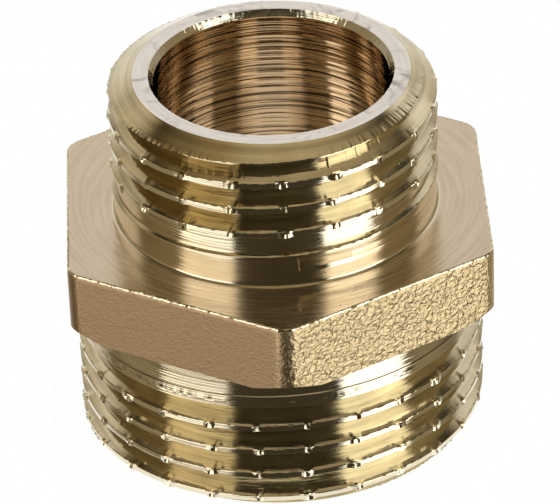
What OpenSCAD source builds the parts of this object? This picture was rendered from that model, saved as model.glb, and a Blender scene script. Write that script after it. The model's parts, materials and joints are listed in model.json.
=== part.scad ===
// Reducing hexagon adapter: one turned brass body with a male parallel pipe thread at each end.
// The origin is the centre of the large end's face. Z runs along the bore, and a corner of
// the hexagon points along -Y. Millimetres.

/* [Hexagon] */
// Width across the flats
hex_af = 27; // [27:0.5:34]
// Thickness of the hexagon
hex_t = 4.9; // [3:0.1:12]
// Radius that rounds the six upright edges
hex_edge_r = 1.3; // [0.5:0.1:2.5]
// Diameter where the corners are turned away on the lower face
hex_cut_d = 29; // [27.5:0.1:30]
// Slope of the turned corners
hex_cut_slope = 35; // [20:1:45]

/* [Small end] */
// Length from the hexagon to the end face
small_len = 9.5; // [8:0.1:20]
// Major diameter of the thread
small_major_d = 20.955; // [20.8:0.005:22.95]
// Depth of the plain neck beside the hexagon, below the major diameter
small_neck_depth = 0.08; // [0.05:0.01:1.2]
// Length of the neck, up to the major diameter
small_neck_len = 1.7; // [1:0.1:4]
// Depth of the lead-in bevel where it meets the end face
small_lead_depth = 1.63; // [0.9:0.01:2]
// Turn of the thread about the axis, in degrees
small_turn = -44; // [-180:1:180]

/* [Large end] */
// Length from the hexagon to the end face
large_len = 10.6; // [9:0.1:20]
// Major diameter of the thread
large_major_d = 26.441; // [26.3:0.001:26.5]
// Depth of the plain neck beside the hexagon, below the major diameter
large_neck_depth = 0.07; // [0.05:0.01:1.2]
// Length of the neck, up to the major diameter
large_neck_len = 1.8; // [1:0.1:4]
// Depth of the lead-in bevel where it meets the end face
large_lead_depth = 1.12; // [0.9:0.01:2]
// Turn of the thread about the axis, in degrees
large_turn = 121; // [-180:1:180]

/* [Thread form] */
// Distance from crest to crest, 14 threads to the inch
pitch = 1.814; // [1.337:0.001:2.309]
// Slope of each flank, half of the form's 55 degrees
flank_slope = 27.5; // [25:0.5:30]
// Width of the flat on each crest
crest_w = 0.37; // [0.2:0.01:0.4]
// Length of unthreaded major diameter between a neck and the first cut of the groove
runout_gap = 0.55; // [0.2:0.05:2]
// Slope at which the groove deepens from that first cut, measured from the axis
runout_slope = 30; // [15:1:45]
// Slope of the lead-in bevel on each end, measured from the end face
lead_slope = 30; // [20:1:45]

/* [Bore] */
// Diameter of the waterway through the small end
bore_d = 15; // [10:0.1:16]
// Diameter of the wider bore in the large end
wide_bore_d = 20; // [17:0.1:21]
// Depth of the wider bore
wide_bore_depth = 13; // [4:0.1:13.4]
// Slope of the shoulder between the bores, measured from the axis
shoulder_slope = 59; // [30:1:70]
// Width of the bevel at the mouth of each bore
mouth_bevel = 0.15; // [0.1:0.05:0.4]
// Radius of the fillet where each neck meets the hexagon
neck_fillet = 0.2; // [0.1:0.05:0.4]

/* [Hidden] */
$fn = 96;

stations = 60;                    // steps of each helical turn
seat = 1;                         // how far each end's blank reaches into the hexagon
air = 0.2;                        // how far a cutter stands clear of what it cuts
total_len = large_len + hex_t + small_len;
thread_depth = 0.640327 * pitch;  // fixed by the 55 degree pipe thread form
hex_edge_at = (hex_af / 2 - hex_edge_r) / cos(30);
hex_corner_r = hex_edge_at + hex_edge_r;
shoulder_len = (wide_bore_d - bore_d) / 2 / tan(shoulder_slope);

function polar(r, a, z) = [r * cos(a), r * sin(a), z];

// Half width of the groove at radius r, where the root's radius is root_r
function half_groove(r, root_r) =
    (pitch - crest_w) / 2 - (root_r + thread_depth - r) * tan(flank_slope);

// Radius of the groove's root at its lower (side = -1) or upper (side = 1) corner, when the
// groove's middle is at height z: the full depth, or the run-out cone that starts at z_out
function root_at(z, side, major_r, z_out) =
    let (
        root_r = major_r - thread_depth,
        grow = tan(flank_slope),
        fall = tan(runout_slope),
        flat = half_groove(root_r, root_r) - root_r * grow,
        cone_r = (major_r - (z + side * flat - z_out) * fall) / (1 + side * grow * fall)
    )
    max(root_r, min(major_r + air / 2, cone_r));

// The helical groove between the crests, as one solid to cut from a blank that stands on z = 0
module thread_groove(major_r, len, z_out, turn) {
    root_r = major_r - thread_depth;
    out_r = major_r + air;
    z_first = z_out - pitch / 2;
    z_last = len + pitch;
    count = ceil((z_last - z_first) / pitch * stations);
    points = [
        for (i = [0:count])
            let (
                a = turn + i * 360 / stations,
                z = z_first + i * pitch / stations,
                low_r = root_at(z, -1, major_r, z_out),
                high_r = root_at(z, 1, major_r, z_out)
            )
            each [
                polar(out_r, a, z - half_groove(out_r, root_r)),
                polar(low_r, a, z - half_groove(low_r, root_r)),
                polar(high_r, a, z + half_groove(high_r, root_r)),
                polar(out_r, a, z + half_groove(out_r, root_r))
            ]
    ];
    sides = [
        for (i = [0:count - 1], k = [0:3])
            let (
                p = 4 * i + k,
                q = 4 * i + (k + 1) % 4
            )
            each [[p, p + 4, q], [q, p + 4, q + 4]]
    ];
    last = 4 * count;
    caps = [[0, 1, 2], [0, 2, 3], [last, last + 2, last + 1], [last, last + 3, last + 2]];
    polyhedron(points = points, faces = concat(sides, caps), convexity = 10);
}

// One end before threading, standing on the hexagon's face at z = 0
module end_blank(major_r, neck_depth, neck_len, len, lead_depth) {
    neck_r = major_r - neck_depth;
    face_r = major_r - lead_depth;
    lead_len = lead_depth * tan(lead_slope);
    rotate_extrude() {
        polygon([
            [0, -seat],
            [neck_r, -seat],
            [neck_r, neck_len - neck_depth],
            [major_r, neck_len],
            [major_r, len - lead_len],
            [face_r, len],
            [0, len]
        ]);
        difference() {
            translate([neck_r - seat, -seat])
                square([seat + neck_fillet, seat + neck_fillet]);
            translate([neck_r + neck_fillet, neck_fillet])
                circle(r = neck_fillet, $fn = 32);
        }
    }
}

module threaded_end(major_d, neck_depth, neck_len, len, lead_depth, turn) {
    major_r = major_d / 2;
    difference() {
        end_blank(major_r, neck_depth, neck_len, len, lead_depth);
        thread_groove(major_r, len, neck_len + runout_gap, turn);
    }
}

// Hexagon with rounded upright edges, its lower corners turned away
module hexagon() {
    cut_r = hex_cut_d / 2;
    cut_len = (hex_corner_r + air - cut_r) * tan(hex_cut_slope);
    intersection() {
        linear_extrude(hex_t)
            hull()
                for (k = [0:5])
                    rotate(30 + 60 * k)
                        translate([hex_edge_at, 0])
                            circle(r = hex_edge_r, $fn = 48);
        rotate_extrude()
            polygon([
                [0, 0],
                [cut_r, 0],
                [hex_corner_r + air, cut_len],
                [hex_corner_r + air, hex_t],
                [0, hex_t]
            ]);
    }
}

// The stepped waterway, with a bevel at each mouth
module waterway() {
    bore_r = bore_d / 2;
    wide_r = wide_bore_d / 2;
    rotate_extrude()
        polygon([
            [0, -air],
            [wide_r + mouth_bevel + air, -air],
            [wide_r, mouth_bevel],
            [wide_r, wide_bore_depth],
            [bore_r, wide_bore_depth + shoulder_len],
            [bore_r, total_len - mouth_bevel],
            [bore_r + mouth_bevel + air, total_len + air],
            [0, total_len + air]
        ]);
}

module adapter_body() {
    color("#b5985a")
        difference() {
            union() {
                translate([0, 0, large_len])
                    hexagon();
                translate([0, 0, large_len + hex_t])
                    threaded_end(small_major_d, small_neck_depth, small_neck_len,
                        small_len, small_lead_depth, small_turn);
                translate([0, 0, large_len])
                    rotate([180, 0, 0])
                        threaded_end(large_major_d, large_neck_depth, large_neck_len,
                            large_len, large_lead_depth, large_turn);
            }
            waterway();
        }
}

adapter_body();
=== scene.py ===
import json
from math import atan2, ceil, cos, floor, hypot, pi, radians, sin, tan
from random import Random

import bmesh
import bpy
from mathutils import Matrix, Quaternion, Vector


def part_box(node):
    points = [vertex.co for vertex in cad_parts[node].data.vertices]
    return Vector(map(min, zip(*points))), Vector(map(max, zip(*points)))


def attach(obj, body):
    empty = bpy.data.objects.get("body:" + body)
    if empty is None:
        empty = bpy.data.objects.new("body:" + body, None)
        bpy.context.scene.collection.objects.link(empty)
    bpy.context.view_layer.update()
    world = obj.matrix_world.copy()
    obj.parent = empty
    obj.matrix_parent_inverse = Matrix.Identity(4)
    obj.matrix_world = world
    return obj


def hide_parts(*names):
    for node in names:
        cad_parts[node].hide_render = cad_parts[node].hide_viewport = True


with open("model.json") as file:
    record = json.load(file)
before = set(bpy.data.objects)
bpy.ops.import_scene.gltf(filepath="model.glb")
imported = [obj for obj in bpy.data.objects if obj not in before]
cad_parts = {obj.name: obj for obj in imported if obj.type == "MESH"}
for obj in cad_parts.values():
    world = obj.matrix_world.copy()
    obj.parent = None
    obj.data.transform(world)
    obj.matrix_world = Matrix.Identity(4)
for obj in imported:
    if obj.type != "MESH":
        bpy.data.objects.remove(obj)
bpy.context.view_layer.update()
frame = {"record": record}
mounts = {mount["name"]: mount for mount in frame["record"]["mounts"]}
lowCorner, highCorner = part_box("adapter_body")
mm = 0.001
steps = 600                                     # columns round each turned surface
step = 2 * pi / steps
mergeWithin = 0.001 * mm
onWithin = 0.01 * mm                            # points this close to a level or a wall lie on it
holdEdge = 0.03 * mm                            # how near a ring stands to a sharp edge, to keep it sharp
print("frame loaded")


def onlyObject(thing):
    bpy.ops.object.select_all(action="DESELECT")
    thing.select_set(True)
    bpy.context.view_layer.objects.active = thing


# In edit mode, selects the edges or the faces that pass a test, and nothing else
def selectOnly(thing, kind, test):
    bpy.ops.mesh.select_mode(type=kind)
    bpy.ops.mesh.select_all(action="DESELECT")
    shape = bmesh.from_edit_mesh(thing.data)
    for part in shape.edges if kind == "EDGE" else shape.faces:
        if test(part):
            part.select_set(True)
    bmesh.update_edit_mesh(thing.data)


# Merges the points of the active object that lie on each other
def mergeDoubles():
    bpy.ops.object.mode_set(mode="EDIT")
    bpy.ops.mesh.select_all(action="SELECT")
    bpy.ops.mesh.remove_doubles(threshold=mergeWithin)
    bpy.ops.object.mode_set(mode="OBJECT")


def linearColour(hexValue):
    channels = [int(hexValue[i:i + 2], 16) / 255 for i in (1, 3, 5)]
    return [c / 12.92 if c <= 0.04045 else ((c + 0.055) / 1.055) ** 2.4 for c in channels] + [1]


# Links sources to a node's inputs. A source is an output, or a node for its first output.
def linkTo(tree, node, links):
    for key, source in links.items():
        output = source.outputs[0] if isinstance(source, bpy.types.Node) else source
        tree.links.new(output, node.inputs[key])


def addNode(tree, kind, settings=None, links=None):
    node = tree.nodes.new(kind)
    for key, value in (settings or {}).items():
        if isinstance(key, int) or key in node.inputs:
            node.inputs[key].default_value = value
        else:
            setattr(node, key, value)
    linkTo(tree, node, links or {})
    return node


# The camera of the photograph: 33 degrees above the part, with a corner of the hexagon almost in front
viewSet = {
    "position": Vector((-5.01, -239.58, 167.65)) * mm,
    "aim": Vector((0.13, 0, 11.26)) * mm,
    "roll": radians(-2.16),
    "sensor": 36,
    "lens": 282.98,
}


def placeCamera():
    bpy.ops.object.camera_add(location=viewSet["position"])
    eye = bpy.context.object
    look = (viewSet["aim"] - viewSet["position"]).to_track_quat("-Z", "Y")
    eye.rotation_mode = "QUATERNION"
    eye.rotation_quaternion = look @ Quaternion((0, 0, 1), viewSet["roll"])
    eye.data.sensor_width = viewSet["sensor"]
    eye.data.lens = viewSet["lens"]
    eye.data.clip_start = 0.01
    bpy.context.scene.camera = eye


placeCamera()
print("camera placed")


# The 55 degree pipe thread that both ends carry
threadForm = {
    "pitch": 1.814 * mm,
    "depth": 0.640327 * 1.814 * mm,
    "flankSlope": radians(27.5),
    "crestWidth": 0.37 * mm,
    "leadSlope": radians(30),                   # of the bevel at each end, from the end face
    "neckSlope": 1.5,                           # how steeply the thread rises out of the neck
    "riseStop": 7,                              # degrees before the groove's start where the neck is longest
    "neckOverlap": 0.05 * mm,                   # how far the neck's rings reach past what they join
    "filletSteps": 8,
    "halvings": 24,                             # of a step, to find where a cone crosses it
}

smallEnd = {
    "majorRadius": mounts["small_thread"]["dims"]["r_mm"] * mm,
    "length": 9.5 * mm,
    "neckDepth": 0.08 * mm,
    "fillet": 0.2 * mm,
    "leadDepth": 1.63 * mm,
    "crestAtFront": 2.02 * mm,                  # a crest's middle above the hexagon, towards -Y
    "front": radians(-91.2),
    "grooveStart": radians(-84.2),
    "startMiddle": 1.148 * mm,                  # the groove's middle where it starts
    "neckTop": [0.95 * mm, 1.95 * mm],          # where the groove starts, and just before that
    "neckRise": 115,                            # degrees over which the neck's top climbs
    "cutDepths": [(0, 0.15), (0.9, 0.22), (1.05, 0.26), (1.3, 0.55), (1.7, 1.162)],  # turns, mm
    "notches": 20,
    "firstNotch": radians(-88.7),
    "firstNotchedCrest": 3.2 * mm,              # crests lower than this have none
    "seed": 5,
}

largeEnd = {
    "majorRadius": mounts["large_thread"]["dims"]["r_mm"] * mm,
    "length": 10.6 * mm,
    "neckDepth": 0.07 * mm,
    "fillet": 0.2 * mm,
    "leadDepth": 1.12 * mm,
    "crestAtFront": 2.196 * mm,
    "front": radians(91.2),
    "grooveStart": radians(200),
    "startMiddle": 1.84 * mm,
    "neckTop": [1.3 * mm, 2.0 * mm],
    "neckRise": 150,
    "cutDepths": [(0, 0.3), (0.3, 0.8), (0.55, 1.162)],
    "notches": 26,
    "firstNotch": radians(84.8),
    "firstNotchedCrest": 3.2 * mm,
    "seed": 9,
}

# A nick is a small rough lump on a crest, wider than the crest and dented in its middle
notch = {
    "reach": 0.42 * mm,
    "sizes": [0.5, 1.25],
    "wander": 0.16 * mm,
    "lump": 0.075 * mm,
    "spread": 0.075 * mm,                       # how far it hangs over each side of the crest
    "dent": 0.12 * mm,
    "dentReach": 0.14 * mm,
    "dentWander": 0.3,                          # of the reach, to either side
    "dentWidth": 0.5,                           # of the crest
    "rough": 0.025 * mm,
}

crestEdge = {
    "flatShare": 0.8,                           # of the crest's width that is truly flat
    "roundDrop": 0.03 * mm,
    "slotDepth": 0.13 * mm,                     # below it a nick leaves the flank as it is
    "ragged": 0.008 * mm,
    "raggedShare": 0.9,                         # of the crest's width, past which its edge is ragged
    "raggedFrom": 2 * mm,                       # crests lower than this are clean
    "leadBurr": 0.09 * mm,                      # burr where the lead-in bevel cuts the thread
    "burrShare": [-0.6, 1],                     # of that burr, drawn at random, with none below 0
    "burrReach": 0.9 * mm,                      # how deep in the groove that burr still stands
}


def drawProfile(name, points):
    bpy.ops.object.select_all(action="DESELECT")
    bpy.ops.mesh.primitive_plane_add(size=1, location=(0, 0, 0))
    profile = bpy.context.object
    profile.name = name
    bpy.ops.object.mode_set(mode="EDIT")
    bpy.ops.mesh.select_mode(type="VERT")
    bpy.ops.mesh.merge(type="CENTER")           # the plane becomes one point to draw from
    bpy.ops.transform.translate(value=points[0])
    for before, after in zip(points, points[1:]):
        bpy.ops.mesh.extrude_region_move(TRANSFORM_OT_translate={"value": after - before})
    bpy.ops.object.mode_set(mode="OBJECT")
    return profile


# One pitch of the thread, from the middle of a groove's root up to the next one, at angle 0
def threadProfile(end, lift):
    major, depth, crest = end["majorRadius"], threadForm["depth"], threadForm["crestWidth"]
    flank = depth * tan(threadForm["flankSlope"])
    edge = crestEdge["roundDrop"]
    slot = crestEdge["slotDepth"]
    slotOut = crest / 2 + slot * tan(threadForm["flankSlope"])
    upper = [(0, 0), (crest / 2 * crestEdge["flatShare"], 0), (crest / 2, edge), (slotOut, slot),
             (crest / 2 + flank / 2, depth / 2), (crest / 2 + flank, depth), (threadForm["pitch"] / 2, depth)]
    lower = [(-height, d) for height, d in reversed(upper[1:])]
    return [Vector((major - d, 0, height + lift)) for height, d in lower + upper]


def cutDepth(end, turns):
    stages = end["cutDepths"]
    if turns < 0:
        return 0
    for (t0, d0), (t1, d1) in zip(stages, stages[1:]):
        if turns < t1:
            return (d0 + (d1 - d0) * (turns - t0) / (t1 - t0)) * mm
    return threadForm["depth"]


def neckTop(end, angleFromStart):
    low, high = end["neckTop"]
    riseFrom = radians(360 - threadForm["riseStop"] - end["neckRise"])
    climb = (angleFromStart - riseFrom) / radians(end["neckRise"])
    return low + (high - low) * max(0, min(1, climb))


# The radius at which the lead-in bevel or the cone above the neck trims the thread
def capRadius(end, height, topOfNeck):
    lead = end["majorRadius"] - end["leadDepth"] + (end["length"] - height) / tan(threadForm["leadSlope"])
    neck = end["majorRadius"] - end["neckDepth"] + (height - topOfNeck) * threadForm["neckSlope"]
    return min(lead, neck)


# How far a nick lifts a crest's point and pushes it sideways
def notchShift(end, angle, crestNumber, across, dice):
    spacing = 2 * pi / end["notches"]
    number = round((angle - end["firstNotch"]) / spacing)
    own = Random(1000 * crestNumber + number % end["notches"] + end["notches"])
    size = own.uniform(*notch["sizes"])
    centre = end["firstNotch"] + number * spacing + own.uniform(-1, 1) * notch["wander"] / end["majorRadius"]
    dentAt = own.uniform(-notch["dentWander"], notch["dentWander"]) * notch["reach"]
    along = (angle - centre) * end["majorRadius"]
    if abs(along) > notch["reach"] * size:
        return 0, 0
    swell = 1 - (along / (notch["reach"] * size)) ** 2
    lift = size * notch["lump"] * swell + dice.uniform(-1, 1) * notch["rough"]
    if abs(along - dentAt) < notch["dentReach"] and abs(across) < notch["dentWidth"]:
        lift -= notch["dent"]
    return lift, across * size * notch["spread"] * swell


# Heights and radii of a column: the groove as deep as it is there, and the crests with their nicks
def cutGroove(end, angle, column, dice):
    pitch, major = threadForm["pitch"], end["majorRadius"]
    grow = tan(threadForm["flankSlope"])
    crestHere = end["crestAtFront"] + pitch * (angle - end["front"]) / (2 * pi)
    places = []
    for vertex in column:
        height = vertex.co.z
        radius = hypot(vertex.co.x, vertex.co.y)
        onCrest = radius > major - crestEdge["slotDepth"] / 2
        below = floor((height - crestHere) / pitch + 1e-4)
        middle = crestHere + (below + 0.5) * pitch
        extra = major - radius - cutDepth(end, (middle - end["startMiddle"]) / pitch)
        if extra > 0:
            radius += extra
            if abs(height - middle) > 1e-7:     # the root's middle stays where it is
                height += extra * grow * (1 if height > middle else -1)
        crest = crestHere + round((height - crestHere) / pitch) * pitch
        across = (height - crest) / (threadForm["crestWidth"] / 2)
        if onCrest and abs(across) > crestEdge["raggedShare"] and crest > crestEdge["raggedFrom"]:
            radius += dice.uniform(-1, 1) * crestEdge["ragged"]
        if onCrest and crest > end["firstNotchedCrest"]:
            lift, aside = notchShift(end, angle, round((crest - crestHere) / pitch), across, dice)
            radius += lift
            height += aside
        places.append([height, radius])
    return places


# Where the way from a point that stays to one that is trimmed away leaves the part
def findCrossing(end, inside, outside, topOfNeck):
    for _ in range(threadForm["halvings"]):
        between = [(inside[0] + outside[0]) / 2, (inside[1] + outside[1]) / 2]
        if between[1] > capRadius(end, between[0], topOfNeck):
            outside = between
        else:
            inside = between
    return inside


# Trims a column to the lead-in bevel and the neck, and leaves a burr where the bevel cuts the thread
def trimColumn(end, places, topOfNeck, dice):
    trimmed = [list(place) for place in places]
    isCut = [radius > capRadius(end, height, topOfNeck) for height, radius in places]
    burrFrom = end["majorRadius"] - crestEdge["burrReach"]
    for i, place in enumerate(places):
        if not isCut[i]:
            continue
        spot = None
        for j in (i - 1, i + 1):
            if 0 <= j < len(places) and not isCut[j]:
                spot = findCrossing(end, places[j], place, topOfNeck)
                if spot[1] > burrFrom and place[0] > end["length"] / 2:
                    spot[1] += max(0, dice.uniform(*crestEdge["burrShare"])) * crestEdge["leadBurr"]
        if spot is None:
            level = max(topOfNeck, min(end["length"], place[0]))
            spot = [level, capRadius(end, level, topOfNeck)]
        trimmed[i] = spot
    return trimmed


def shapeColumn(end, angle, column, dice):
    topOfNeck = neckTop(end, (angle - end["grooveStart"]) % (2 * pi))
    places = cutGroove(end, angle, column, dice)
    for vertex, (height, radius) in zip(column, trimColumn(end, places, topOfNeck, dice)):
        level = max(topOfNeck, min(end["length"], height))
        if level != height:
            radius = capRadius(end, level, topOfNeck)
        vertex.co = (radius * cos(angle), radius * sin(angle), level)


def makeThread(name, end):
    pitch = threadForm["pitch"]
    lift = end["crestAtFront"] - pitch * end["front"] / (2 * pi)
    lift -= pitch * ceil((lift + 0.5 * pitch) / pitch)
    thing = drawProfile(name, threadProfile(end, lift))
    screw = thing.modifiers.new("Thread", "SCREW")
    screw.screw_offset = pitch
    screw.iterations = ceil((end["length"] - lift) / pitch) + 1
    screw.steps = screw.render_steps = steps
    onlyObject(thing)
    bpy.ops.object.modifier_apply(modifier=screw.name)
    mergeDoubles()
    shape = bmesh.new()
    shape.from_mesh(thing.data)
    columns = {}
    for vertex in shape.verts:
        columns.setdefault(round(atan2(vertex.co.y, vertex.co.x) / step) % steps, []).append(vertex)
    dice = Random(end["seed"])
    for number in sorted(columns):
        column = sorted(columns[number], key=lambda vertex: vertex.co.z)
        shapeColumn(end, number * step, column, dice)
    shape.to_mesh(thing.data)
    shape.free()
    mergeDoubles()
    return thing


hexagon = {
    "acrossFlats": highCorner.x - lowCorner.x,
    "bottom": largeEnd["length"],
    "top": highCorner.z - smallEnd["length"],
    "edgeRadius": 1.3 * mm,
    "edgeSegments": 8,
    "edgeBreak": 0.12 * mm,
    "edgeRagged": 0.055 * mm,
    "edgeCuts": 90,
    "raggedStrip": 0.3 * mm,                    # height of the strip that carries the ragged edge
    "cutDiameter": 29 * mm,
    "cutSlope": radians(35),
    "cutVertices": 360,
    "seed": 3,
}

waterway = {
    "radius": mounts["small_bore"]["dims"]["r_mm"] * mm,
    "mouthRadius": 7.82 * mm,
    "mouthDepth": 0.41 * mm,
    "mouthRagged": 0.016 * mm,                  # how ragged the broken edge at the mouth is
    "wideRadius": mounts["large_bore"]["dims"]["r_mm"] * mm,
    "wideDepth": 13 * mm,
    "wideMouth": 0.15 * mm,
    "shoulderSlope": radians(59),
    "seed": 7,
}


# Grows the open edge that lies highest or lowest, ring by ring, to each radius and height.
# A ring's third value says how ragged it is.
def growRings(thing, highest, rings):
    dice = Random(waterway["seed"])
    onlyObject(thing)
    bpy.ops.object.mode_set(mode="EDIT")
    shape = bmesh.from_edit_mesh(thing.data)
    heights = [edge.verts[0].co.z for edge in shape.edges if edge.is_boundary]
    split = (min(heights) + max(heights)) / 2
    selectOnly(thing, "EDGE", lambda edge: edge.is_boundary and (edge.verts[0].co.z > split) == highest)
    for radius, height, *ragged in rings:
        bpy.ops.mesh.extrude_region_move()
        shape = bmesh.from_edit_mesh(thing.data)
        for vertex in shape.verts:
            if vertex.select:
                angle = atan2(vertex.co.y, vertex.co.x)
                out = radius + (dice.uniform(-1, 1) * ragged[0] if ragged else 0)
                vertex.co = (out * cos(angle), out * sin(angle), height)
        bmesh.update_edit_mesh(thing.data)
    bpy.ops.object.mode_set(mode="OBJECT")


# The plain neck, its fillet and the start of the hexagon's face
def neckRings(end):
    neck = end["majorRadius"] - end["neckDepth"]
    fillet = end["fillet"]
    overlap = threadForm["neckOverlap"]
    turns = [radians(90 / threadForm["filletSteps"] * i) for i in range(1, threadForm["filletSteps"] + 1)]
    rings = [(neck, end["neckTop"][0] - overlap), (neck, fillet)]
    rings += [(neck + fillet * (1 - cos(a)), fillet * (1 - sin(a))) for a in turns]
    return rings + [(neck + fillet + overlap, 0)]


def makeSmallEnd():
    thing = makeThread("smallEnd", smallEnd)
    growRings(thing, False, neckRings(smallEnd))
    top = smallEnd["length"]
    drop = hexagon["top"]
    bore, wide = waterway["radius"], waterway["wideRadius"]
    mouth, mouthDepth = waterway["mouthRadius"], waterway["mouthDepth"]
    shoulder = (wide - bore) / tan(waterway["shoulderSlope"])
    brokenEdge = [(mouth + (bore - mouth) * share, top - mouthDepth * share, waterway["mouthRagged"])
                  for share in (0, 0.35, 0.7)]
    growRings(thing, True, [
        (smallEnd["majorRadius"] - smallEnd["leadDepth"] - holdEdge, top),
        (mouth + holdEdge, top),
        *brokenEdge,
        (bore, top - mouthDepth),
        (bore, top - mouthDepth - holdEdge),
        (bore, waterway["wideDepth"] + shoulder - drop + holdEdge),
        (bore, waterway["wideDepth"] + shoulder - drop),
        (wide, waterway["wideDepth"] - drop),
        (wide, waterway["wideMouth"] - drop),
        (wide + waterway["wideMouth"], -drop),
    ])
    bpy.ops.transform.translate(value=(0, 0, drop))
    bpy.ops.object.transform_apply(location=True, rotation=True, scale=True)
    return thing


def makeLargeEnd():
    thing = makeThread("largeEnd", largeEnd)
    growRings(thing, False, neckRings(largeEnd))
    top = largeEnd["length"]
    growRings(thing, True, [
        (largeEnd["majorRadius"] - largeEnd["leadDepth"] - holdEdge, top),
        (waterway["wideRadius"] + waterway["wideMouth"], top),
    ])
    thing.rotation_euler = (pi, 0, 0)
    thing.location = (0, 0, top)
    onlyObject(thing)
    bpy.ops.object.transform_apply(location=True, rotation=True, scale=True)
    return thing


def makeHexagon():
    bpy.ops.object.select_all(action="DESELECT")
    corner = hexagon["acrossFlats"] / 2 / cos(pi / 6)
    tall = hexagon["top"] - hexagon["bottom"]
    bpy.ops.mesh.primitive_cylinder_add(vertices=6, radius=corner, depth=tall,
                                        location=(0, 0, hexagon["bottom"] + tall / 2))
    thing = bpy.context.object
    thing.name = "hexagon"
    bpy.ops.object.transform_apply(location=True, rotation=True, scale=True)
    bpy.ops.object.mode_set(mode="EDIT")
    selectOnly(thing, "EDGE", lambda edge: abs(edge.verts[0].co.z - edge.verts[1].co.z) > tall / 2)
    bpy.ops.mesh.bevel(offset=hexagon["edgeRadius"] * tan(pi / 6), segments=hexagon["edgeSegments"],
                       profile=0.5)
    selectOnly(thing, "FACE", lambda face: face.normal.z > 0.9)
    broken = hexagon["edgeBreak"]
    bpy.ops.transform.translate(value=(0, 0, -broken))
    bpy.ops.mesh.inset(thickness=0.3 * broken, depth=0.7 * broken)
    bpy.ops.mesh.inset(thickness=0.7 * broken, depth=0.3 * broken)
    bpy.ops.mesh.select_all(action="SELECT")
    bpy.ops.mesh.bisect(plane_co=(0, 0, hexagon["top"] - hexagon["raggedStrip"]), plane_no=(0, 0, 1))
    bpy.ops.object.mode_set(mode="OBJECT")
    return thing


def cutHexagonCorners(thing):
    tall = hexagon["top"] - hexagon["bottom"]
    radius = hexagon["cutDiameter"] / 2
    bpy.ops.object.select_all(action="DESELECT")
    bpy.ops.mesh.primitive_cone_add(vertices=hexagon["cutVertices"], radius1=radius,
                                    radius2=radius + tall / tan(hexagon["cutSlope"]), depth=tall,
                                    location=(0, 0, hexagon["bottom"] + tall / 2))
    cone = bpy.context.object
    cut = thing.modifiers.new("Turned corners", "BOOLEAN")
    cut.operation, cut.solver, cut.object = "INTERSECT", "EXACT", cone
    onlyObject(thing)
    bpy.ops.object.modifier_apply(modifier=cut.name)
    bpy.data.objects.remove(cone)


# Takes away one end face of the hexagon, to be filled again round its neck
def openHexagonFace(thing, level):
    bpy.ops.object.mode_set(mode="EDIT")
    selectOnly(thing, "FACE",
               lambda face: all(abs(vertex.co.z - level) < onWithin for vertex in face.verts))
    bpy.ops.mesh.delete(type="FACE")
    bpy.ops.object.mode_set(mode="OBJECT")


# The hexagon's top edge is ragged in the photo, a thin line that catches the light
def roughenTopEdge(thing):
    level = hexagon["top"]
    stripFoot = level - hexagon["raggedStrip"] * 1.1
    bpy.ops.object.mode_set(mode="EDIT")
    selectOnly(thing, "EDGE", lambda edge: min(vertex.co.z for vertex in edge.verts) > stripFoot
               and edge.calc_length() > 1 * mm)
    bpy.ops.mesh.subdivide(number_cuts=hexagon["edgeCuts"])
    bpy.ops.object.mode_set(mode="OBJECT")
    dice = Random(hexagon["seed"])
    for vertex in thing.data.vertices:
        if vertex.co.z < level - hexagon["edgeBreak"] * 1.1:
            continue
        out = hypot(vertex.co.x, vertex.co.y)
        inward = 1 - dice.random() * hexagon["edgeRagged"] / out
        onTop = vertex.co.z > level - onWithin
        drop = 0 if onTop else dice.uniform(-0.6, 0.6) * hexagon["edgeRagged"]
        vertex.co = (vertex.co.x * inward, vertex.co.y * inward, vertex.co.z + drop)


def fillFaceRoundNeck(thing, level):
    bpy.ops.object.mode_set(mode="EDIT")
    selectOnly(thing, "EDGE",
               lambda edge: edge.is_boundary and abs(edge.verts[0].co.z - level) < onWithin)
    bpy.ops.mesh.fill(use_beauty=True)
    bpy.ops.object.mode_set(mode="OBJECT")


def makeBody():
    body = makeHexagon()
    cutHexagonCorners(body)
    openHexagonFace(body, hexagon["top"])
    roughenTopEdge(body)
    openHexagonFace(body, hexagon["bottom"])
    print("hexagon made")
    ends = [makeSmallEnd(), makeLargeEnd()]
    print("threaded ends made")
    bpy.ops.object.select_all(action="DESELECT")
    for thing in ends + [body]:
        thing.select_set(True)
    bpy.context.view_layer.objects.active = body
    bpy.ops.object.join()
    mergeDoubles()
    fillFaceRoundNeck(body, hexagon["top"])
    fillFaceRoundNeck(body, hexagon["bottom"])
    bpy.ops.object.mode_set(mode="EDIT")
    bpy.ops.mesh.select_all(action="SELECT")
    bpy.ops.mesh.normals_make_consistent(inside=False)
    bpy.ops.object.mode_set(mode="OBJECT")
    bpy.ops.object.shade_smooth_by_angle(angle=radians(14))
    body.name = "adapterBody"
    return body


# Every brass surface starts with Object coordinates, in metres from the middle of the large end's face
def startBrass(name):
    material = bpy.data.materials.new(name)
    material.use_nodes = True
    tree = material.node_tree
    tree.nodes["Principled BSDF"].inputs["Metallic"].default_value = 1
    place = addNode(tree, "ShaderNodeTexCoord").outputs["Object"]
    return material, tree, place


def finishBrass(tree, colour, shine, relief, depth):
    bump = addNode(tree, "ShaderNodeBump", {"Strength": 1.0, "Distance": depth}, {"Height": relief})
    linkTo(tree, tree.nodes["Principled BSDF"], {"Base Color": colour, "Roughness": shine, "Normal": bump})


turnedLook = {
    "lines": {"Scale": (0.05 / mm, 0.05 / mm, 5 / mm)},             # 0.2 mm apart along the axis
    "lineNoise": {"Scale": 1.0, "Detail": 3.0},
    "lineDepth": 0.028 * mm,
    "patches": {"Scale": 0.35 / mm, "Detail": 4.0},                 # 2.9 mm across
    "colours": {"data_type": "RGBA", 6: linearColour("#EADBB4"), 7: linearColour("#F3ECD9")},
    "roughness": {"To Min": 0.05, "To Max": 0.13},
}


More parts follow.
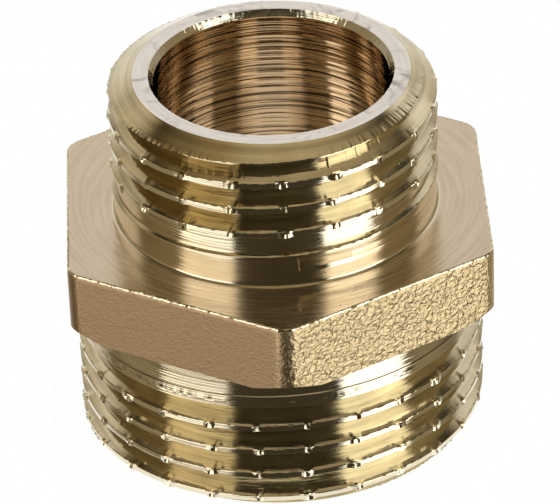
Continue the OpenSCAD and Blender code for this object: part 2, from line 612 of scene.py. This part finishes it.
# Brass turned on a lathe: pale gold and mirror bright, with fine lines round the axis
def turnedBrass():
    look = turnedLook
    material, tree, place = startBrass("turnedBrass")
    lines = addNode(tree, "ShaderNodeMapping", look["lines"], {"Vector": place})
    tool = addNode(tree, "ShaderNodeTexNoise", look["lineNoise"], {"Vector": lines})
    patches = addNode(tree, "ShaderNodeTexNoise", look["patches"], {"Vector": place})
    colour = addNode(tree, "ShaderNodeMix", look["colours"], {0: patches})
    shine = addNode(tree, "ShaderNodeMapRange", look["roughness"], {"Value": patches})
    finishBrass(tree, colour.outputs[2], shine, tool, look["lineDepth"])
    return material


threadedLook = {
    "lines": {"Scale": (0.05 / mm, 0.05 / mm, 6 / mm)},             # 0.17 mm apart along the axis
    "lineNoise": {"Scale": 1.0, "Detail": 3.0},
    "lineDepth": 0.022 * mm,
    "patches": {"Scale": 0.5 / mm, "Detail": 5.0},                  # 2 mm across
    # The second colour and the four values after it are painted shade: the flanks darker at the left front,
    # half as much on the large end
    "colours": {"data_type": "RGBA", 6: linearColour("#E6DBBC"), 7: linearColour("#C2B088")},
    "paintedShadeMiddle": (-0.72, -0.69, 0),                                # way to the darker patch, left front
    "paintedShadeEdge": {"From Min": 0.86, "From Max": 0.96},
    "paintedShadeWander": 0.12,
    "paintedShadeOnLargeEnd": 0.5,
    "dull": {"From Min": 0.3, "From Max": 0.7, "To Min": 0.86, "To Max": 1.06},
    "streaks": {"From Min": 0.3, "From Max": 0.7, "To Min": 0.74, "To Max": 1.16},
    "roughness": {"To Min": 0.06, "To Max": 0.16},
}


# Brass cut as a thread: olive gold with fine lines, and painted shade that darkens it at the left front.
# Whether film or the light darkens it there isn't known.
def threadedBrass():
    look = threadedLook
    material, tree, place = startBrass("threadedBrass")
    split = addNode(tree, "ShaderNodeSeparateXYZ", {}, {0: place})
    lines = addNode(tree, "ShaderNodeMapping", look["lines"], {"Vector": place})
    tool = addNode(tree, "ShaderNodeTexNoise", look["lineNoise"], {"Vector": lines})
    patches = addNode(tree, "ShaderNodeTexNoise", look["patches"], {"Vector": place})
    flat = addNode(tree, "ShaderNodeCombineXYZ", {}, {0: split.outputs[0], 1: split.outputs[1]})
    around = addNode(tree, "ShaderNodeVectorMath", {"operation": "NORMALIZE"}, {0: flat})
    # Painted shade: how near each point lies to the left front, where the flanks are painted darker
    toPaintedShade = addNode(tree, "ShaderNodeVectorMath", {"operation": "DOT_PRODUCT", 1: look["paintedShadeMiddle"]},
                     {0: around})
    wander = addNode(tree, "ShaderNodeMath", {"operation": "MULTIPLY_ADD", 1: look["paintedShadeWander"]},
                     {0: patches, 2: toPaintedShade.outputs["Value"]})
    across = addNode(tree, "ShaderNodeMapRange", look["paintedShadeEdge"], {"Value": wander})
    upper = addNode(tree, "ShaderNodeMapRange",
                    {"From Min": hexagon["bottom"], "From Max": hexagon["top"],
                     "To Min": look["paintedShadeOnLargeEnd"], "To Max": 1.0}, {"Value": split.outputs[2]})
    paintedShade = addNode(tree, "ShaderNodeMath", {"operation": "MULTIPLY"}, {0: across, 1: upper})
    # The colour turns to the darker second one where the painted shade lies
    sides = addNode(tree, "ShaderNodeMix", look["colours"], {0: paintedShade})
    dull = addNode(tree, "ShaderNodeMapRange", look["dull"], {"Value": patches})
    streaks = addNode(tree, "ShaderNodeMapRange", look["streaks"], {"Value": tool})
    worn = addNode(tree, "ShaderNodeMath", {"operation": "MULTIPLY"}, {0: dull, 1: streaks})
    colour = addNode(tree, "ShaderNodeVectorMath", {"operation": "SCALE"},
                     {0: sides.outputs[2], "Scale": worn})
    shine = addNode(tree, "ShaderNodeMapRange", look["roughness"], {"Value": patches})
    finishBrass(tree, colour, shine, tool, look["lineDepth"])
    return material


facedLook = {
    "arcs": 4 / mm,                                                 # 0.25 mm apart along the radius
    "arcStretch": {"Scale": (1, 3, 3)},
    "arcNoise": {"Scale": 1.0, "Detail": 4.0},
    "arcDepth": 0.016 * mm,
    "endFace": {"From Min": 20 * mm, "From Max": 20.1 * mm},        # heights between the two upper faces
    "colours": {"data_type": "RGBA", 6: linearColour("#E3D2BB"), 7: linearColour("#FBF5F0")},
    "dull": {"From Min": 0.3, "From Max": 0.7, "To Min": 0.84, "To Max": 1.08},
    "marks": {"Scale": 0.42 / mm, "Detail": 6.0, "Distortion": 1.2},  # 2.4 mm across, on the small end
    "scuffs": {"From Min": 0.55, "From Max": 0.7, "To Min": 1.0, "To Max": 0.5},
    "roughness": {"To Min": 0.1, "To Max": 0.3},
}


# Brass faced on a lathe: paler and greyer than the turned brass, with broken arcs round the bore
def facedBrass():
    look = facedLook
    material, tree, place = startBrass("facedBrass")
    split = addNode(tree, "ShaderNodeSeparateXYZ", {}, {0: place})
    flat = addNode(tree, "ShaderNodeCombineXYZ", {}, {0: split.outputs[0], 1: split.outputs[1]})
    radius = addNode(tree, "ShaderNodeVectorMath", {"operation": "LENGTH"}, {0: flat})
    ring = addNode(tree, "ShaderNodeMath", {"operation": "MULTIPLY", 1: look["arcs"]},
                   {0: radius.outputs["Value"]})
    outward = addNode(tree, "ShaderNodeVectorMath", {"operation": "NORMALIZE"}, {0: flat})
    around = addNode(tree, "ShaderNodeSeparateXYZ", {}, {0: outward})
    arcPlace = addNode(tree, "ShaderNodeCombineXYZ", {},
                       {0: ring, 1: around.outputs[0], 2: around.outputs[1]})
    stretch = addNode(tree, "ShaderNodeMapping", look["arcStretch"], {"Vector": arcPlace})
    arcs = addNode(tree, "ShaderNodeTexNoise", look["arcNoise"], {"Vector": stretch})
    isEndFace = addNode(tree, "ShaderNodeMapRange", look["endFace"], {"Value": split.outputs[2]})
    tint = addNode(tree, "ShaderNodeMix", look["colours"], {0: isEndFace})
    dull = addNode(tree, "ShaderNodeMapRange", look["dull"], {"Value": arcs})
    marks = addNode(tree, "ShaderNodeTexNoise", look["marks"], {"Vector": place})
    onEndFace = addNode(tree, "ShaderNodeMath", {"operation": "MULTIPLY"}, {0: marks, 1: isEndFace})
    scuffs = addNode(tree, "ShaderNodeMapRange", look["scuffs"], {"Value": onEndFace})
    worn = addNode(tree, "ShaderNodeMath", {"operation": "MULTIPLY"}, {0: dull, 1: scuffs})
    colour = addNode(tree, "ShaderNodeVectorMath", {"operation": "SCALE"},
                     {0: tint.outputs[2], "Scale": worn})
    shine = addNode(tree, "ShaderNodeMapRange", look["roughness"], {"Value": arcs})
    finishBrass(tree, colour, shine, arcs, look["arcDepth"])
    return material


blastedLook = {
    "grain": {"Scale": 3.3 / mm, "Detail": 1.5, "Distortion": 0.6},  # 0.3 mm wide
    "grainDepth": 0.12 * mm,
    # This share sets both the grain and the painted shade: less grain on the left, and there a darker,
    # browner colour
    "grainAndShadeShare": {"From Min": -1 * mm, "From Max": 0.6 * mm, "To Min": 0.1, "To Max": 1.0},  # left to right
    "fineGrain": {"Scale": 9 / mm, "Detail": 2.0},                  # 0.11 mm wide
    "fineShare": 0.12,
    # The first colour, on the left, is painted shade
    "colours": {"data_type": "RGBA", 6: linearColour("#A08467"), 7: linearColour("#D6C095")},
    "roughness": {"To Min": 0.24, "To Max": 0.42},
}


# Forged brass blasted with grit: dull tan gold with a wormy grain, smoother on the left, with painted shade
# that makes it browner and darker there
def blastedBrass():
    look = blastedLook
    material, tree, place = startBrass("blastedBrass")
    split = addNode(tree, "ShaderNodeSeparateXYZ", {}, {0: place})
    grain = addNode(tree, "ShaderNodeTexNoise", look["grain"], {"Vector": place})
    share = addNode(tree, "ShaderNodeMapRange", look["grainAndShadeShare"], {"Value": split.outputs[0]})
    coarse = addNode(tree, "ShaderNodeMath", {"operation": "MULTIPLY"}, {0: grain, 1: share})
    fine = addNode(tree, "ShaderNodeTexNoise", look["fineGrain"], {"Vector": place})
    faint = addNode(tree, "ShaderNodeMath", {"operation": "MULTIPLY", 1: look["fineShare"]}, {0: fine})
    relief = addNode(tree, "ShaderNodeMath", {"operation": "ADD"}, {0: coarse, 1: faint})
    # Painted shade: the sides darker and browner on the left
    colour = addNode(tree, "ShaderNodeMix", look["colours"], {0: share})
    shine = addNode(tree, "ShaderNodeMapRange", look["roughness"], {"Value": fine})
    finishBrass(tree, colour.outputs[2], shine, relief, look["grainDepth"])
    return material


# The wide bore is out of sight. Its pale colour is a guess, so that what it mirrors is bright enough.
boredLook = {
    "lines": {"Scale": (0.025 / mm, 0.025 / mm, 2.56 / mm)},        # 0.39 mm apart along the axis
    "lineNoise": {"Scale": 1.0, "Detail": 2.0},
    "lineDepth": 0.06 * mm,
    "darkLevel": 0.47,                                              # of the noise, where a dark line runs
    "darkEdge": {"From Min": 0.004, "From Max": 0.04},
    "colours": {"data_type": "RGBA", 6: linearColour("#43331F"), 7: linearColour("#CDB79A")},
    "wideFrom": {"From Min": waterway["wideDepth"] + 0.2 * mm, "From Max": waterway["wideDepth"]},
    "wideColour": {"data_type": "RGBA", 7: linearColour("#F3E8D7")},
    "roughness": {"To Min": 0.12, "To Max": 0.05},
}


# Bored brass: pinkish and mirror bright, with deep tool lines and thin dark ones
def boredBrass():
    look = boredLook
    material, tree, place = startBrass("boredBrass")
    lines = addNode(tree, "ShaderNodeMapping", look["lines"], {"Vector": place})
    tool = addNode(tree, "ShaderNodeTexNoise", look["lineNoise"], {"Vector": lines})
    swing = addNode(tree, "ShaderNodeMath", {"operation": "SUBTRACT", 1: look["darkLevel"]}, {0: tool})
    apart = addNode(tree, "ShaderNodeMath", {"operation": "ABSOLUTE"}, {0: swing})
    clean = addNode(tree, "ShaderNodeMapRange", look["darkEdge"], {"Value": apart})
    small = addNode(tree, "ShaderNodeMix", look["colours"], {0: clean})
    split = addNode(tree, "ShaderNodeSeparateXYZ", {}, {0: place})
    isWide = addNode(tree, "ShaderNodeMapRange", look["wideFrom"], {"Value": split.outputs[2]})
    colour = addNode(tree, "ShaderNodeMix", look["wideColour"], {0: isWide, 6: small.outputs[2]})
    shine = addNode(tree, "ShaderNodeMapRange", look["roughness"], {"Value": tool})
    finishBrass(tree, colour.outputs[2], shine, tool, look["lineDepth"])
    return material


# Which faces take which surface, by how steep they are and how far from the axis
surfaces = {
    "outOfThread": 0.1 * mm,                    # past the large thread's crests only the hexagon is left
    "upright": 0.9,                             # a normal's height, below which a face is a side
    "level": 0.999,
    "flanks": (0.7, 0.95),                      # a normal's height on flanks and lead-in bevels
    "flanksFrom": smallEnd["majorRadius"] - 1.7 * mm,
    "largeFlat": 1e-6,                          # square metres, from which a side is shaded flat
}


def dressBody(body):
    for material in (turnedBrass(), facedBrass(), blastedBrass(), boredBrass(), threadedBrass()):
        body.data.materials.append(material)
    turned, faced, blasted, bored, threaded = range(5)
    for face in body.data.polygons:
        out = hypot(face.center.x, face.center.y)
        level = face.center.z
        steep = abs(face.normal.z)
        inBore = out < waterway["radius"] + onWithin
        if out > largeEnd["majorRadius"] + surfaces["outOfThread"] and steep < surfaces["upright"]:
            onRaggedEdge = level > hexagon["top"] - hexagon["edgeBreak"]
            face.material_index = turned if onRaggedEdge else blasted
            face.use_smooth = face.area < surfaces["largeFlat"]
        elif steep > surfaces["level"]:
            face.material_index = faced
            face.use_smooth = False
        elif inBore or (out < waterway["wideRadius"] and level < hexagon["top"]):
            face.material_index = bored
        elif surfaces["flanks"][0] < steep < surfaces["flanks"][1] and out > surfaces["flanksFrom"]:
            face.material_index = threaded


adapterBody = makeBody()
dressBody(adapterBody)
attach(adapterBody, "root")
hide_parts("adapter_body")
adapterBody.data.calc_loop_triangles()
print("body made", len(adapterBody.data.loop_triangles), "triangles")


# Softboxes at the right and left
softbox = {
    "distance": 0.6,
    "azimuth": radians(52),                     # from the camera's side, towards right and left
    "width": 0.437,
    "height": 1.2,
    "rightGlow": 1.75,
    "leftHighGlow": 1.3,
    "leftLowGlow": 0.45,                        # the foot of the left box is shaded
    "leftFoot": -0.4,
    "rightColour": (1, 1, 1),
    "leftHighColour": (1, 0.98, 0.94),
    "leftLowColour": (1, 0.88, 0.74),
}


# Places a softbox between two heights, on the right where side is 1 and on the left where it is -1
def placeSoftbox(side, bottom, top, glow, colour):
    azimuth = side * softbox["azimuth"]
    out = Vector((sin(azimuth), -cos(azimuth), 0))
    place = softbox["distance"] * out + Vector((0, 0, (bottom + top) / 2))
    bpy.ops.object.light_add(type="AREA", location=place)
    box = bpy.context.object
    box.rotation_euler = (-out).to_track_quat("-Z", "Y").to_euler()
    box.data.shape = "RECTANGLE"
    box.data.size = softbox["width"]
    box.data.size_y = top - bottom
    box.data.color = colour
    box.data.energy = glow * pi * softbox["width"] * (top - bottom)
    box.visible_camera = False


# A white backdrop behind the part and a dark warm room in front of it. Each range is of a part of the
# direction: x to the right, y to the back, z up.
backdropGlow = 0.78
room = {
    "behind": {"From Min": 0.33, "From Max": 0.43, "To Max": backdropGlow},                 # y
    "belowTop": {"From Min": 0.75, "From Max": 0.62},                                       # z
    "sidesFade": {"From Min": 0.35, "From Max": 0.7, "To Min": 1.0, "To Max": 0.42},        # x, low down
    "noFadeAbove": {"From Min": 0.2, "From Max": 0.5},                                      # z
    "foot": {"From Min": -0.35, "From Max": -0.1, "To Min": 1.0 / backdropGlow, "To Max": 1.0},  # z
    "ceiling": {"From Min": 0.7, "From Max": 0.95, "To Max": 0.44},                         # z
    "sideWalls": {"From Min": 0.7, "From Max": 0.8, "To Max": 0.26},                        # x
    "darkest": 0.045,
    "warmAndWhite": {"data_type": "RGBA", 6: (1, 0.82, 0.52, 1), 7: (1, 1, 1, 1)},
}


# Metal and glass send out these rays, and mirror the white background by them
def addMetalRays(tree, rays):
    return addNode(tree, "ShaderNodeMath", {"operation": "ADD", "use_clamp": True},
                   {0: rays.outputs["Is Glossy Ray"], 1: rays.outputs["Is Transmission Ray"]})


def makeWorld():
    world = bpy.data.worlds.new("studio")
    bpy.context.scene.world = world
    world.use_nodes = True
    tree = world.node_tree
    larger = {"operation": "MAXIMUM"}
    times = {"operation": "MULTIPLY"}
    direction = addNode(tree, "ShaderNodeTexCoord")
    split = addNode(tree, "ShaderNodeSeparateXYZ", {}, {0: direction.outputs["Generated"]})
    aside = addNode(tree, "ShaderNodeMath", {"operation": "ABSOLUTE"}, {0: split.outputs[0]})
    back, up = split.outputs[1], split.outputs[2]
    rays = addNode(tree, "ShaderNodeLightPath")
    isCamera = rays.outputs["Is Camera Ray"]
    behind = addNode(tree, "ShaderNodeMapRange", room["behind"], {"Value": back})
    low = addNode(tree, "ShaderNodeMapRange", room["belowTop"], {"Value": up})
    fade = addNode(tree, "ShaderNodeMapRange", room["sidesFade"], {"Value": aside})
    above = addNode(tree, "ShaderNodeMapRange", room["noFadeAbove"], {"Value": up})
    foot = addNode(tree, "ShaderNodeMapRange", room["foot"], {"Value": up})
    ceiling = addNode(tree, "ShaderNodeMapRange", room["ceiling"], {"Value": up})
    walls = addNode(tree, "ShaderNodeMapRange", room["sideWalls"], {"Value": aside})
    spread = addNode(tree, "ShaderNodeMath", larger, {0: fade, 1: above})
    level = addNode(tree, "ShaderNodeMath", times, {0: low, 1: spread})
    lit = addNode(tree, "ShaderNodeMath", times, {0: level, 1: foot})
    backdrop = addNode(tree, "ShaderNodeMath", times, {0: behind, 1: lit})
    metal = addMetalRays(tree, rays)
    mirrored = addNode(tree, "ShaderNodeMath", times, {0: backdrop, 1: metal})
    dim = addNode(tree, "ShaderNodeMath", larger, {0: walls, 1: ceiling})
    glow = addNode(tree, "ShaderNodeMath", larger, {0: mirrored, 1: dim})
    white = addNode(tree, "ShaderNodeMath", larger, {0: isCamera, 1: glow})
    strength = addNode(tree, "ShaderNodeMath", {"operation": "MAXIMUM", 1: room["darkest"]}, {0: white})
    isWhite = addNode(tree, "ShaderNodeMath", {"operation": "MAXIMUM", "use_clamp": True},
                      {0: isCamera, 1: backdrop})
    tint = addNode(tree, "ShaderNodeMix", room["warmAndWhite"], {0: isWhite})
    linkTo(tree, tree.nodes["Background"], {"Color": tint.outputs[2], "Strength": strength})


# A small table of white paper, opaque and seen by every ray, open under the waterway as a ring is.
# Past its edge the camera sees the white world.
table = {
    "radius": 15.5 * mm,
    "opening": waterway["wideRadius"] + waterway["wideMouth"],
    "sides": 96,
    "drop": 0.02 * mm,                          # below the part, so that the two don't touch
    "paper": (0.9, 0.9, 0.9, 1),
    "roughness": 0.9,
    "whiteShare": 0.92,                         # of its look is plain white, the rest keeps the shadow
    "white": 1.05,
}


def makeFloor():
    bpy.ops.object.select_all(action="DESELECT")
    bpy.ops.mesh.primitive_circle_add(vertices=table["sides"], radius=table["radius"],
                                      location=(0, 0, -table["drop"]))
    ground = bpy.context.object
    ground.name = "ground"
    bpy.ops.object.mode_set(mode="EDIT")
    bpy.ops.mesh.extrude_region_move()
    inward = table["opening"] / table["radius"]
    bpy.ops.transform.resize(value=(inward, inward, 1))
    bpy.ops.mesh.select_all(action="SELECT")
    bpy.ops.mesh.normals_make_consistent(inside=False)
    bpy.ops.object.mode_set(mode="OBJECT")
    material = bpy.data.materials.new("whitePaper")
    material.use_nodes = True
    tree = material.node_tree
    shader = tree.nodes["Principled BSDF"]
    shader.inputs["Base Color"].default_value = table["paper"]
    shader.inputs["Roughness"].default_value = table["roughness"]
    rays = addNode(tree, "ShaderNodeLightPath")
    metal = addMetalRays(tree, rays)
    seen = addNode(tree, "ShaderNodeMath", {"operation": "ADD", "use_clamp": True},
                   {0: rays.outputs["Is Camera Ray"], 1: metal})
    share = addNode(tree, "ShaderNodeMath", {"operation": "MULTIPLY", 1: table["whiteShare"]}, {0: seen})
    white = addNode(tree, "ShaderNodeEmission", {"Strength": table["white"]})
    mix = addNode(tree, "ShaderNodeMixShader", {}, {0: share, 1: shader, 2: white})
    linkTo(tree, tree.nodes["Material Output"], {"Surface": mix})
    ground.data.materials.append(material)


halfHeight = softbox["height"] / 2
placeSoftbox(1, -halfHeight, halfHeight, softbox["rightGlow"], softbox["rightColour"])
placeSoftbox(-1, softbox["leftFoot"], halfHeight, softbox["leftHighGlow"], softbox["leftHighColour"])
placeSoftbox(-1, -halfHeight, softbox["leftFoot"], softbox["leftLowGlow"], softbox["leftLowColour"])
makeWorld()
makeFloor()
bpy.context.scene.view_settings.view_transform = "Standard"
print("studio set")
